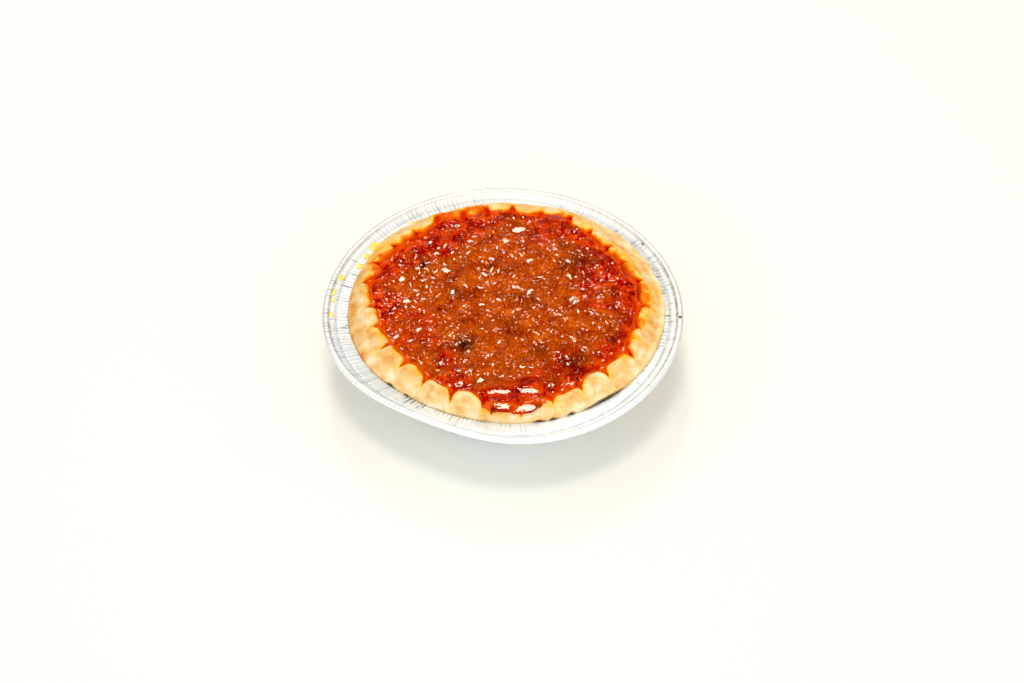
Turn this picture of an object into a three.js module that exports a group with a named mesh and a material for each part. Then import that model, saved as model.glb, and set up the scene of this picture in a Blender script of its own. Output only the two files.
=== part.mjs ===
// A butter tart in its own foil tin: a pleated tin with a rolled bead round its rim, a fluted
// pastry shell that rests on the tin's flange, and a craggy baked filling.
// Millimetres, +Z up. The origin is the centre of the tin's flat underside. Angles run from +X
// towards +Y, so -90 degrees is the front.

import * as THREE from 'three';
import { mergeVertices } from 'three/addons/utils/BufferGeometryUtils.js';

// Foil tin
const FOIL = 0.35;
const BASE_RADIUS = 24.2;
const HEEL = 1.2;
const WALL_TOP_RADIUS = 34.3;
const WALL_TOP_HEIGHT = 17.4;
const FLANGE_RADIUS = 38.8;
const FLANGE_HEIGHT = 18.1;
const RIM_RADIUS = 42;
const RIM_HEIGHT = 18.5;
const BEAD_RADIUS = 0.7;
const BEAD_POINTS = 6;
const BEAD_FROM = -110;
const BEAD_TO = 150;
const PLEATS = 66;
const PLEAT_DEPTH = 0.3;

// Dent at the front left, where the rim has been pushed in and bent up
const DENT_ANGLE = -118;
const DENT_SPREAD = 28;
const DENT_PUSH = 2.2;
const DENT_LIFT = 1.4;

// Pastry shell
const GAP = 0.3;
const SHELL_WALL = 3.4;
const SHELL_FLOOR = 3;
const EDGE_RADIUS = 36.5;
const EDGE_DRIFT_X = 0.85;
const EDGE_DRIFT_Y = 1.1;
const EDGE_OVAL = 0.6;
const EDGE_DENT = 1.2;
const EDGE_THICKNESS = 0.5;
const EDGE_ROUND = 0.4;
const LOBE_RADIUS = 30.6;
const LOBE_DRIFT = 0.8;
const CREST_HEIGHT = 22.2;
const FLUTES = 28;
const FLUTE_STEPS = 6;
const FLUTE_START = -7;
const FLUTE_SKEW = 4.2;
const FLUTE_SKEW_AT = 20;
const FLUTE_ROUND = 1.3;
const FLUTE_REACH_SPREAD = 0.7;
const FLUTE_LIFT_SPREAD = 0.4;
const NOTCH_LENGTH = 1;
const NOTCH_DEPTH = 1.1;
const INNER_WALL_TOP = 16;

// Stretches where the flutes reach further in, at the back right and the front left
const SWELLS = [
  { angle: 33, spread: 14, depth: 2.2 },
  { angle: -138, spread: 24, depth: 1 },
];

// Stretch at the front where the flutes are lower and the filling has run over them
const SPILL_ANGLE = -81;
const SPILL_SPREAD = 15;
const SPILL_DROP = 0.7;

// Filling
const FILL_HEIGHT = 21.4;
const FILL_RINGS = 8;
const BRIM_DROP = 0.5;
const CRAGS = 120;
const CRAG_HEIGHT = 0.6;
const CRAG_RADIUS_MIN = 2;
const CRAG_RADIUS_MAX = 4.5;

const FULL_TURN = 2 * Math.PI;
const toRadians = THREE.MathUtils.degToRad;
const lerp = THREE.MathUtils.lerp;

// A seeded random number from 0 to 1, so that every build is the same.
function randomFrom(seed) {
  let state = seed;
  return () => {
    state = (Math.imul(state, 1664525) + 1013904223) >>> 0;
    return state / 2 ** 32;
  };
}

// The angle at a share of the full turn. The flutes are even in that share, so they are a little
// wider on one side of the tart than on the other.
function angleAt(share) {
  const even = FULL_TURN * share;
  const skew = FLUTE_SKEW * Math.cos(even - toRadians(FLUTE_SKEW_AT));
  return even + toRadians(FLUTE_START + skew);
}

// A bell-shaped value from 0 to 1 of how near a share of the turn is to an angle in degrees.
function nearness(share, centre, spread) {
  const turn = angleAt(share) - toRadians(centre);
  const away = Math.atan2(Math.sin(turn), Math.cos(turn));
  return Math.exp(-((away / toRadians(spread)) ** 2));
}

// A closed solid turned round Z from a section that changes with the share of the turn. The section
// runs from the axis under the piece, out and up its outside, and back over its top to the axis. Its
// sense is 1, or -1 to turn it the other way, which splits its facets along their other diagonal.
function turned(sectionAt, segments, sense) {
  const first = sectionAt(0);
  const geometry = new THREE.LatheGeometry(first, segments);
  const position = geometry.attributes.position;
  for (let step = 0; step <= segments; step++) {
    const turn = step % segments;
    const share = (sense > 0 ? turn : (segments - turn) % segments) / segments;
    const angle = angleAt(share);
    sectionAt(share).forEach((point, row) => {
      const index = step * first.length + row;
      position.setXYZ(index, point.x * Math.cos(angle), point.x * Math.sin(angle), point.y);
    });
  }
  geometry.deleteAttribute('normal');
  geometry.deleteAttribute('uv');
  return facingOut(mergeVertices(geometry, 1e-4), sense);
}

// Triangles that have closed up to a line at the axis are taken out, and the rest face outwards.
function facingOut(geometry, sense) {
  const index = geometry.index.array;
  const kept = [];
  for (let at = 0; at < index.length; at += 3) {
    const [a, b, c] = index.slice(at, at + 3);
    if (a === b || b === c || c === a) continue;
    kept.push(...(sense > 0 ? [a, b, c] : [a, c, b]));
  }
  geometry.setIndex(kept);
  geometry.computeVertexNormals();
  return geometry;
}

function dentAt(share) {
  return nearness(share, DENT_ANGLE, DENT_SPREAD);
}

// The tin's inner line from the centre of its floor to its rim. Each point has the way that the
// foil faces there, in degrees below level, and the share of the pleats and of the dent that it takes.
const tinLine = [
  { r: 0, z: FOIL, facing: 90, pleat: 0, dent: 0 },
  { r: BASE_RADIUS - HEEL, z: FOIL, facing: 90, pleat: 0, dent: 0 },
  { r: BASE_RADIUS - 0.2 * HEEL, z: FOIL + 0.25 * HEEL, facing: 60, pleat: 0.3, dent: 0 },
  { r: BASE_RADIUS + 0.6 * HEEL, z: FOIL + HEEL, facing: 37, pleat: 0.7, dent: 0 },
  { r: WALL_TOP_RADIUS, z: WALL_TOP_HEIGHT, facing: 56, pleat: 1, dent: 0.1 },
  { r: FLANGE_RADIUS, z: FLANGE_HEIGHT, facing: 81, pleat: 0.7, dent: 0.7 },
  { r: RIM_RADIUS - 1.9 * BEAD_RADIUS, z: RIM_HEIGHT, facing: 85, pleat: 0.2, dent: 1 },
];

// The foil stands to and fro in pleats, so both of its faces move alike.
function tinPoint(point, depth, share) {
  const facing = toRadians(point.facing);
  const fold = (Math.cos(FULL_TURN * PLEATS * share) / 2) * PLEAT_DEPTH * point.pleat;
  const give = dentAt(share) * point.dent;
  const r = point.r + (depth + fold) * Math.cos(facing) - DENT_PUSH * give;
  const z = point.z - (depth + fold) * Math.sin(facing) + DENT_LIFT * give;
  return new THREE.Vector2(Math.max(r, 0), z);
}

// The rolled bead, from under its inner side round over its top.
function beadPoint(along, share) {
  const swing = toRadians(lerp(BEAD_FROM, BEAD_TO, along));
  const give = dentAt(share);
  const r = RIM_RADIUS - BEAD_RADIUS + BEAD_RADIUS * Math.cos(swing) - DENT_PUSH * give;
  const z = RIM_HEIGHT + BEAD_RADIUS * Math.sin(swing) + DENT_LIFT * give;
  return new THREE.Vector2(r, z);
}

function tinSection(share) {
  const under = tinLine.map((point) => tinPoint(point, FOIL, share));
  const over = tinLine.map((point) => tinPoint(point, 0, share)).reverse();
  const along = Array.from({ length: BEAD_POINTS }, (_, at) => at / (BEAD_POINTS - 1));
  const bead = along.map((place) => beadPoint(place, share));
  return [...under, ...bead, ...over];
}

// The tin's inside wall and its flange, which the pastry follows with a gap.
function tinRadius(z) {
  return lerp(BASE_RADIUS, WALL_TOP_RADIUS, (z - FOIL) / (WALL_TOP_HEIGHT - FOIL));
}

function flangeHeight(r, share) {
  const outward = Math.max(r - WALL_TOP_RADIUS, 0) / (FLANGE_RADIUS - WALL_TOP_RADIUS);
  return lerp(WALL_TOP_HEIGHT, FLANGE_HEIGHT, outward) + 0.4 * DENT_LIFT * dentAt(share);
}

// Each flute has its own reach towards the middle and its own height, both from -1 to 1.
const fluteRandom = randomFrom(28);
const fluteOwn = Array.from({ length: FLUTES }, () => ({
  reach: 2 * fluteRandom() - 1,
  lift: 2 * fluteRandom() - 1,
}));

// How a share of the turn lies in its flute: how much of the gap between two round flutes is there,
// from 0 at a flute's middle to 1 in a notch, and the flute's own reach and lift, which fade to 0 there.
function fluteAt(share) {
  const along = share * FLUTES;
  const away = Math.abs(along - Math.round(along));
  const own = fluteOwn[Math.floor(along + 1e-6) % FLUTES];
  const middle = Math.sin(Math.PI * away);
  const gap = 1 - Math.sqrt(1 - (1 - 2 * away) ** 2);
  return { gap, reach: own.reach * middle, lift: own.lift * middle };
}

// The shell's outer edge, which is a little oval and stands to one side in the tin.
function edgeRadius(share) {
  const angle = angleAt(share);
  const drift = EDGE_DRIFT_X * Math.cos(angle) + EDGE_DRIFT_Y * Math.sin(angle);
  return EDGE_RADIUS + drift + EDGE_OVAL * Math.cos(2 * angle) - EDGE_DENT * dentAt(share);
}

// The shell's inner face at its top, where the flutes end in the filling, with a notch between each two.
function innerRadius(share) {
  const flute = fluteAt(share);
  const swells = SWELLS.map((place) => place.depth * nearness(share, place.angle, place.spread));
  const swell = swells.reduce((sum, depth) => sum + depth, 0);
  const lobe = LOBE_RADIUS + LOBE_DRIFT * Math.cos(angleAt(share)) - swell;
  const notch = flute.gap > 0.99 ? NOTCH_LENGTH : 0;
  return lobe + FLUTE_ROUND * flute.gap + notch - FLUTE_REACH_SPREAD * flute.reach;
}

const shellFoot = FOIL + GAP;
const shellInset = GAP + PLEAT_DEPTH;
const shellFloor = shellFoot + SHELL_FLOOR;
const innerWallFoot = shellFloor + HEEL;

function innerWallRadius(z) {
  return tinRadius(z) - shellInset - SHELL_WALL;
}

// The height where the filling meets the shell's inner face, lower in the notches.
function brimHeight(share) {
  return FILL_HEIGHT - BRIM_DROP - (NOTCH_DEPTH / 2) * fluteAt(share).gap;
}

// The shell's bare top from its outer edge in over its crest: shares of the way in to the filling, of
// the way up to the crest, and of the depth that a notch has there.
const shellTop = [
  { inward: 0, up: 0, notch: 0 },
  { inward: 0.08, up: 0.17, notch: 0 },
  { inward: 0.45, up: 0.76, notch: 0.2 },
  { inward: 0.75, up: 1, notch: 1 },
  { inward: 0.93, up: 0.93, notch: 1 },
];

function shellSection(share) {
  const flute = fluteAt(share);
  const notch = NOTCH_DEPTH * flute.gap;
  const spill = SPILL_DROP * nearness(share, SPILL_ANGLE, SPILL_SPREAD);
  const crest = CREST_HEIGHT + FLUTE_LIFT_SPREAD * flute.lift - spill;
  const edge = edgeRadius(share);
  const inner = innerRadius(share);
  const lip = edge - EDGE_ROUND;
  const bend = Math.min(WALL_TOP_RADIUS, lip) - GAP;
  const clear = PLEAT_DEPTH / 2 + GAP;
  const lipHeight = flangeHeight(lip, share) + clear;
  const wallFoot = shellFoot + HEEL;
  const wallTop = WALL_TOP_HEIGHT - GAP;
  const top = shellTop.map((place) => [
    lerp(edge, inner, place.inward),
    lerp(lipHeight + EDGE_THICKNESS, crest, place.up) - place.notch * notch,
  ]);
  return [
    [0, shellFoot],
    [tinRadius(shellFoot) - HEEL - shellInset, shellFoot],
    [tinRadius(wallFoot) - shellInset, wallFoot],
    [tinRadius(wallTop) - shellInset, wallTop],
    [bend, flangeHeight(bend, share) + clear],
    [lip, lipHeight],
    ...top,
    [inner, brimHeight(share)],
    [innerWallRadius(INNER_WALL_TOP), INNER_WALL_TOP],
    [innerWallRadius(innerWallFoot), innerWallFoot],
    [innerWallRadius(innerWallFoot) - HEEL, shellFloor],
    [0, shellFloor],
  ].map(([r, z]) => new THREE.Vector2(r, z));
}

// The crags of the filling's top: seeded rounded bumps and pits, spread evenly over its area.
const cragRandom = randomFrom(7);
const crags = Array.from({ length: CRAGS }, () => {
  const reach = EDGE_RADIUS * Math.sqrt(cragRandom());
  const angle = FULL_TURN * cragRandom();
  return {
    x: reach * Math.cos(angle),
    y: reach * Math.sin(angle),
    radius: lerp(CRAG_RADIUS_MIN, CRAG_RADIUS_MAX, cragRandom()),
    height: CRAG_HEIGHT * (2 * cragRandom() - 1),
  };
});

function cragHeight(x, y) {
  return crags.reduce((sum, crag) => {
    const away = Math.hypot(x - crag.x, y - crag.y) / crag.radius;
    return sum + crag.height * Math.exp(-(away ** 2));
  }, 0);
}

function fillSection(share) {
  const angle = angleAt(share);
  const brim = innerRadius(share) - GAP;
  const wall = (z) => innerWallRadius(z) - GAP;
  const top = (r) => [r, FILL_HEIGHT + cragHeight(r * Math.cos(angle), r * Math.sin(angle))];
  const rings = Array.from({ length: FILL_RINGS }, (_, at) => top((1 - (at + 0.5) / FILL_RINGS) * brim));
  return [
    [0, shellFloor + GAP],
    [wall(innerWallFoot) - HEEL, shellFloor + GAP],
    [wall(innerWallFoot), innerWallFoot],
    [wall(INNER_WALL_TOP), INNER_WALL_TOP],
    [brim, brimHeight(share)],
    [brim - BRIM_DROP, brimHeight(share) + BRIM_DROP],
    ...rings,
    top(0),
  ].map(([r, z]) => new THREE.Vector2(r, z));
}

function piece(name, geometry, look) {
  const mesh = new THREE.Mesh(geometry, new THREE.MeshStandardMaterial(look));
  mesh.name = name;
  return mesh;
}

const foilLook = { color: 0xd9dcde, roughness: 0.3, metalness: 1 };
const pastryLook = { color: 0xf0c078, roughness: 0.75, metalness: 0 };
const fillingLook = { color: 0xa83c0c, roughness: 0.2, metalness: 0 };

const tart = new THREE.Group();
tart.add(piece('foil_tin', turned(tinSection, 2 * PLEATS, 1), foilLook));
tart.add(piece('pastry_shell', turned(shellSection, FLUTES * FLUTE_STEPS, 1), pastryLook));
tart.add(piece('filling', turned(fillSection, FLUTES * FLUTE_STEPS, -1), fillingLook));

export default tart;
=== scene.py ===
import math
import random

import bmesh
import bpy
import numpy as np
from mathutils import Matrix, Vector, kdtree, noise


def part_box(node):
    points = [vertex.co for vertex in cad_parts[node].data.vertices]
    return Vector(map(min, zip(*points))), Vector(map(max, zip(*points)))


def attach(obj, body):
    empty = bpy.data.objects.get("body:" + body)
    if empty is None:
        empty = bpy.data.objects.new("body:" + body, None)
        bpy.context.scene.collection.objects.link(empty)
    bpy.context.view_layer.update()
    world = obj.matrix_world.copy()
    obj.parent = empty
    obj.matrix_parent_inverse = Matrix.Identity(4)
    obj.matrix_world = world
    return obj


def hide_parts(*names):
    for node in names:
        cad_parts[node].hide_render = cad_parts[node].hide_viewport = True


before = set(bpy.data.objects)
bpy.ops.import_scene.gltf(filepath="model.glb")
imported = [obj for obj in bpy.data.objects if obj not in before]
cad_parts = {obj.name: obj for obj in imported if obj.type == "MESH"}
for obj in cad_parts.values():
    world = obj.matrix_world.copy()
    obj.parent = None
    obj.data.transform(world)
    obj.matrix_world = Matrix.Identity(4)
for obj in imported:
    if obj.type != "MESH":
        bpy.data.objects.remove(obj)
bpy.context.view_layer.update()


# Foil tin. A round of soft aluminium foil pressed over a die, so that its wall and flange stand in
# fine uneven pleats. Its edge is rolled under into a bead, and a thumb has dented it at the front left.
rim_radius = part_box("foil_tin")[1].x
rim_height = 0.0185
foil = 0.00015
bead_radius = 0.0007
bead_turn = (math.radians(-110), math.radians(150))
bead_points = 14
tin_steps = 1440
pleats = 240
pleat_depth = 0.00022
wobble = 0.00012
dent_push = 0.0022
dent_lift = 0.0014

# Centre and spread, in degrees round from +X, of the dent, of the side where the pleats are pressed flat, and
# of the side with painted light.
dent_side = (-118, 28)
pressed_side = (-62, 48)
front_light_side = (-90, 55)

# Radius and height along the tin's inner line, with the share of the pleats and of the dent there, and
# the number of rows up to the next corner.
tin_corners = [
    (0.0000, foil, 0.0, 0.0, 3),
    (0.0226, foil, 0.0, 0.0, 2),
    (0.0240, 0.0006, 0.3, 0.0, 2),
    (0.0249, 0.0018, 0.6, 0.0, 6),
    (0.0336, 0.0168, 1.0, 0.1, 2),
    (0.0343, 0.0174, 1.0, 0.2, 7),
    (0.0388, 0.0181, 0.9, 0.7, 2),
    (0.0390, 0.0179, 0.5, 0.7, 2),
    (0.0393, 0.0182, 0.7, 0.8, 3),
    (0.0406, rim_height, 0.4, 1.0, 1),
]


def bell(angle, centre, spread):
    """A bump round the turn, 1 at its centre, with its centre and spread in degrees."""
    off = angle - math.radians(centre)
    away = np.arctan2(np.sin(off), np.cos(off))
    return np.exp(-((away / math.radians(spread)) ** 2))


def bells(angle, bumps):
    """The sum of several bumps, each a centre and a spread in degrees and a height."""
    return sum(tall * bell(angle, centre, spread) for centre, spread, tall in bumps)


def dent_at(angle):
    """How much of the dent there is at each angle."""
    return bell(angle, *dent_side)


def rows_between(corners):
    """Points along a line of corners, whose last value is the number of rows up to the next corner."""
    rows = []
    for start, end in zip(corners, corners[1:]):
        steps = start[-1]
        for step in range(steps):
            rows.append([a + (b - a) * step / steps for a, b in zip(start[:-1], end[:-1])])
    rows.append(list(corners[-1][:-1]))
    return np.array(rows)


def link(name, bm):
    """Makes the mesh an object of the scene."""
    mesh = bpy.data.meshes.new(name)
    bm.to_mesh(mesh)
    bm.free()
    piece = bpy.data.objects.new(name, mesh)
    bpy.context.scene.collection.objects.link(piece)
    return piece


def spun(name, line, steps):
    """A closed skin from a line of radius and height that starts and ends on the Z axis.
    Returns its object, and the row of the line and the angle of every vertex."""
    bm = bmesh.new()
    row_layer = bm.verts.layers.int.new("row")
    verts = [bm.verts.new((r, 0, z)) for r, z in line]
    for row, vert in enumerate(verts):
        vert[row_layer] = row
    edges = [bm.edges.new(pair) for pair in zip(verts, verts[1:])]
    coarse = 36
    bmesh.ops.spin(bm, geom=verts + edges, axis=(0, 0, 1), cent=(0, 0, 0), angle=math.tau,
                   steps=coarse, use_merge=True)
    bmesh.ops.remove_doubles(bm, verts=bm.verts, dist=1e-7)
    rings = [edge for edge in bm.edges if edge.verts[0][row_layer] == edge.verts[1][row_layer]]
    bmesh.ops.subdivide_edges(bm, edges=rings, cuts=steps // coarse - 1)
    bmesh.ops.recalc_face_normals(bm, faces=bm.faces)
    for face in bm.faces:
        face.smooth = True
    row = np.array([vert[row_layer] for vert in bm.verts])
    angle = np.array([math.atan2(vert.co.y, vert.co.x) for vert in bm.verts])
    bm.verts.layers.int.remove(row_layer)
    return link(name, bm), row, angle


def place(piece, radius, angle, height):
    """Puts every vertex at its own radius, angle and height."""
    spots = np.stack([radius * np.cos(angle), radius * np.sin(angle), height], axis=1)
    piece.data.vertices.foreach_set("co", spots.astype(np.float32).ravel())
    piece.data.update()
    return spots


ring = np.linspace(-math.pi, math.pi, 2400, endpoint=False)


def ring_noise(angle, waves, seed):
    """Smooth noise round a ring, from about -1 to 1, with about that many waves to the turn."""
    reach = waves / math.tau
    table = [noise.noise((reach * math.cos(a), reach * math.sin(a), seed)) for a in ring]
    return np.interp(angle, ring, table, period=math.tau)


def smooth(value, low, high):
    """A soft step from 0 at low to 1 at high."""
    share = np.clip((value - low) / (high - low), 0, 1)
    return share * share * (3 - 2 * share)


def crumb(spots, size, seed):
    """Lumpy noise for each spot, with lumps of about that size."""
    offset = Vector((seed, 0, 0))
    return np.array([noise.fractal(Vector(spot) / size + offset, 0.9, 2.0, 3) for spot in spots])


inner_line = rows_between(tin_corners)
slope = np.gradient(inner_line[:, :2], axis=0)
outward = np.stack([slope[:, 1], -slope[:, 0]], axis=1)
outward /= np.linalg.norm(outward, axis=1)[:, None]
outward[0] = (0, -1)
swing = np.linspace(*bead_turn, bead_points)
round_bead = np.stack([np.cos(swing), np.sin(swing)], axis=1)
bead_centre = np.array([rim_radius - bead_radius, rim_height])
outer_line = inner_line[::2]
tin_line = np.concatenate([outer_line[:, :2] + foil * outward[::2], bead_centre + bead_radius * round_bead,
                           inner_line[::-1, :2]])
tin_line[:2, 1] = 0
tin_facing = np.concatenate([outward[::2], round_bead, outward[::-1]])
tin_pleat = np.concatenate([outer_line[:, 2], np.full(bead_points, 0.2), inner_line[::-1, 2]])
tin_dent = np.concatenate([outer_line[:, 3], np.ones(bead_points), inner_line[::-1, 3]])

tin, row, angle = spun("foil_tin_skin", tin_line, tin_steps)
phase = pleats * angle / math.tau + 0.9 * ring_noise(angle, 40, 1.7)
zigzag = 2 * np.abs(2 * (phase % 1) - 1) - 1
pressed = 1 - 0.85 * bell(angle, *pressed_side)
strength = pressed * (0.75 + 0.6 * ring_noise(angle, 34, 5.1))
fold = 0.5 * pleat_depth * zigzag * strength * tin_pleat[row]
give = tin_dent[row] * dent_at(angle)
radius = tin_line[row, 0] + fold * tin_facing[row, 0] - dent_push * give
height = tin_line[row, 1] + fold * tin_facing[row, 1] + dent_lift * give
height += wobble * ring_noise(angle, 9, 8.3) * tin_dent[row]
spots = place(tin, radius, angle, height)

# Painted shade and dark reflections in the creases: each pleat's own streak out from the pastry, patches by
# it, the crimps and outer side of the bead, and the lines round the flat ring. Some sides get more painted
# shade: a centre and a spread in degrees, and how dark each is.
pastry_edge = 0.0364
pastry_shift = 0.0014
pastry_shift_at = math.radians(52)
streak_lengths = (0.0012, 0.0048)
shade_blot_fade = (0.0008, 0.0026)
ring_groove = 0.0390
ring_end = 0.0403
bead_seam = 0.04065
line_width = 0.0002
crimp_side = (-170, 55)
shaded_sides = ((180, 60, 0.07), (-148, 26, 0.25), (30, 30, 0.24), (120, 22, 0.18))

pleat_dice = random.Random(17)
pleat_own = np.array([[pleat_dice.random(), pleat_dice.random()] for _ in range(pleats)])
own_dark, own_long = pleat_own[np.floor(phase + 0.5).astype(int) % pleats].T
line_radius = tin_line[row, 0]
far_side = np.clip(np.sin(angle), 0, 1)
fold_line = np.clip(zigzag, 0, 1)
shade_strength = np.clip(0.55 + 1.1 * ring_noise(angle, 16, 21.0), 0.05, 1)
bead_rows = (row >= len(outer_line)) & (row < len(outer_line) + bead_points)
bead_swing = np.interp(row, len(outer_line) + np.arange(bead_points), swing)
flange = (row >= len(outer_line) + bead_points) & (line_radius < ring_end)

past_pastry = line_radius - pastry_edge - pastry_shift * np.cos(angle - pastry_shift_at)
streak_length = np.interp(own_long, (0, 1), streak_lengths)
streak = 2.1 * own_dark * np.sqrt(fold_line) * shade_strength
streak *= 1 - smooth(past_pastry, 0.3 * streak_length, streak_length)
shade_blot = np.clip(2.2 * ring_noise(angle, 30, 44.0) - 0.2, 0, 1) * (0.55 + 0.3 * zigzag)
shade_blot *= 1 - smooth(past_pastry, *shade_blot_fade)
streak = np.maximum.reduce([streak, 0.8 * own_long**3 * fold_line, shade_blot])
streak *= flange * pressed * (1 - 0.75 * far_side**2)
streak *= np.clip(0.75 + 1.3 * crumb(spots, 0.0013, 77.0), 0.1, 1.3)

outline = smooth(np.sin(angle), -0.5, 0.1) * np.clip(0.7 + 0.7 * ring_noise(angle, 30, 27.0), 0.2, 1)
bead_side = bead_rows * np.exp(-(((bead_swing - 0.4 - 0.6 * far_side) / 0.4) ** 2)) * outline
crimp = bead_rows * smooth(bead_swing, 0.1, 0.9) * (0.2 + 0.8 * own_dark) * np.clip(zigzag + 0.2, 0, 1)
crimp *= 0.15 + 0.2 * np.abs(np.cos(angle)) + 0.6 * bell(angle, *crimp_side)
crimp *= 0.3 + 0.7 * shade_strength
ring_line = np.exp(-(((line_radius - ring_groove) / line_width) ** 2)) * (0.4 + 0.6 * own_long)
ring_line *= 1 - 0.7 * far_side
seam_line = np.exp(-(((line_radius - bead_seam) / line_width) ** 2)) * (0.3 + 0.7 * own_dark)
seam_line *= 1 - far_side
side_shade = (0.1 * far_side + bells(angle, shaded_sides)) * flange * (0.5 + 0.5 * own_dark)
crease_shade = np.clip(np.maximum.reduce([bead_side, crimp, 0.5 * ring_line, 0.7 * seam_line, streak, side_shade]), 0, 1)


def new_material(name):
    """A material, with its nodes, its links and its shader."""
    material = bpy.data.materials.new(name)
    material.use_nodes = True
    nodes = material.node_tree.nodes
    return material, nodes, material.node_tree.links, nodes["Principled BSDF"]


def add(nodes, kind, **settings):
    """A node with its settings, where a setting with a capital letter is an input socket."""
    node = nodes.new("ShaderNode" + kind)
    for key, value in settings.items():
        if key[0].isupper():
            node.inputs[key.replace("_", " ")].default_value = value
        else:
            setattr(node, key, value)
    return node


def wire(links, *runs):
    """Joins sockets, each run being a node, its output, the next node and that node's input."""
    for start, output, end, entry in runs:
        links.new(start.outputs[output], end.inputs[entry])


def ramp_between(nodes, stops):
    """A colour ramp through the stops, each a position and a colour."""
    node = nodes.new("ShaderNodeValToRGB")
    while len(node.color_ramp.elements) < len(stops):
        node.color_ramp.elements.new(0.5)
    for element, (position, colour) in zip(node.color_ramp.elements, stops):
        element.position = position
        element.color = (*colour, 1)
    return node


def paint(piece, name, values):
    """Keeps one number for each vertex, for the piece's material."""
    layer = piece.data.attributes.new(name, "FLOAT", "POINT")
    layer.data.foreach_set("value", values.astype(np.float32))


# Painted shade and dark reflections in the creases.
paint(tin, "crease_shade", crease_shade)
# Painted light: the front of the foil brighter and bluer.
paint(tin, "front_light", bell(angle, *front_light_side))

# The foil has painted shade and dark reflections along its creases and painted light at the front, brighter
# and bluer, with fine rolling marks.
foil_finish, nodes, links, shader = new_material("bright_foil")
shader.inputs["Metallic"].default_value = 0.35
crease_shade_share = add(nodes, "Attribute", attribute_name="crease_shade")
tone = ramp_between(nodes, [(0.0, (0.84, 0.86, 0.86)), (0.5, (0.42, 0.46, 0.49)), (1.0, (0.11, 0.13, 0.15))])
front_light_share = add(nodes, "Attribute", attribute_name="front_light")
front_lit = add(nodes, "Mix", data_type="RGBA", blend_type="MULTIPLY")
front_lit.inputs["B"].default_value = (1.02, 1.10, 1.17, 1)
where = add(nodes, "TexCoord")
rolling = add(nodes, "TexNoise", Scale=900.0, Detail=3.0)
rolled_gloss = add(nodes, "MapRange", From_Min=0.3, From_Max=0.7, To_Min=0.32, To_Max=0.52)
crinkle = add(nodes, "TexNoise", Scale=2600.0, Detail=2.0)
crinkle_bump = add(nodes, "Bump", Strength=0.25, Distance=0.0001)
wire(links,
     (crease_shade_share, "Fac", tone, "Fac"),
     (tone, "Color", front_lit, "A"),
     (front_light_share, "Fac", front_lit, "Factor"),
     (front_lit, "Result", shader, "Base Color"),
     (where, "Object", rolling, "Vector"),
     (rolling, "Fac", rolled_gloss, "Value"),
     (rolled_gloss, "Result", shader, "Roughness"),
     (where, "Object", crinkle, "Vector"),
     (crinkle, "Fac", crinkle_bump, "Height"),
     (crinkle_bump, "Normal", shader, "Normal"))
tin.data.materials.append(foil_finish)
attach(tin, "root")
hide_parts("foil_tin")


# Pastry shell. Short pastry pressed into the tin by a fluted die, so that its brim is a ring of broad
# flutes with narrow notches between them. It rests on the flange, and it baked pale gold.
foot = 0.00065
shell_steps = 1260
top_rows = 46
brim_width = 0.006
brim_height = 0.0187
crumb_depth = 0.00015

# The outer edge, which lies off the tin's middle, and its lip on the flange.
edge_radius = 0.0365
edge_drift = (0.00085, 0.0011)
edge_oval = 0.0006
edge_dent = 0.0012
edge_ragged = 0.00022
edge_thickness = 0.0005
lip_tuck = 0.0003
lip_drop = 0.00015
lip_round = 0.85
flange_give = 0.22

# The flutes, with the notches and the valleys between them.
flutes = 28
flute_start = math.radians(-7)
flute_skew = math.radians(4.2)
flute_skew_at = math.radians(20)
notch_width = 0.15
notch_depth = 0.0010
notch_lengths = (0.0001, 0.0017)
wide_brim = 0.0062
valley_depth = 0.0008
knuckle_rise = 0.0005

# The flutes' ends in the filling, and the crest behind them.
lobe_radius = 0.0306
lobe_drift = 0.0008
lobe_uneven = 0.0007
lobe_ragged = 0.0003
end_round = 0.0013
crest_height = 0.0222
crest_back = 0.0012
under_fill = 0.0013
spill_drop = 0.0007

# Sides round the tart, each a centre and a spread in degrees and some with a size: where the outer edge bulges
# and lifts, where the flutes reach further in, the step in the right-hand flutes and the spill at the front,
# then where the lip is burnt and darkened with the painted shadow of the gap under it, where the crust is
# browned and tanned, where its painted light is weaker and where that light lies in patches.
edge_bulges = ((137, 13, 0.0009),)
edge_lifts = ((-51, 10, 0.0003), (-115, 14, -0.0004))
lobe_swells = ((-140, 27, 0.0022), (-48, 8, 0.0010), (-15, 12, 0.0008), (33, 14, 0.0022), (60, 7, -0.0005),
               (120, 6, -0.0012), (166, 10, -0.0017))
ledge_side = (-3, 36)
spill_side = (-85, 15)
burnt_and_shaded_lips = ((-50.5, 9.0), (-64.6, 1.7), (-71.7, 1.9), (-76.9, 2.5), (-129.7, 1.6), (-137.9, 2.6))
brown_side = (178, 34)
tan_side = (184, 42)
less_light_side = (178, 50)
light_patch_side = (-97, 65)


def even_draws(seed):
    """Seeded numbers from -1 to 1, drawn for the flutes as they were for the solid."""
    state = seed
    while True:
        state = (state * 1664525 + 1013904223) % 2**32
        yield state / 2**31 - 1


draws = even_draws(28)
flute_own = np.array([[next(draws), next(draws)] for _ in range(flutes)])
notch_own = np.array([np.interp(next(draws), (-1, 1), notch_lengths) for _ in range(flutes)])


def flute_at(angle):
    """How far each angle is from the nearest notch, in flutes, and that flute's own reach and lift, with
    the length of that notch."""
    even = angle - flute_start
    for _ in range(4):
        even = angle - flute_start - flute_skew * np.cos(even - flute_skew_at)
    along = (even / math.tau % 1) * flutes + 0.2 * ring_noise(angle, 22, 3.3)
    away = np.abs(along - np.round(along))
    own = flute_own[np.floor(along).astype(int) % flutes] * np.sin(math.pi * away)[:, None]
    return away, own[:, 0], own[:, 1], notch_own[np.round(along).astype(int) % flutes]


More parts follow.
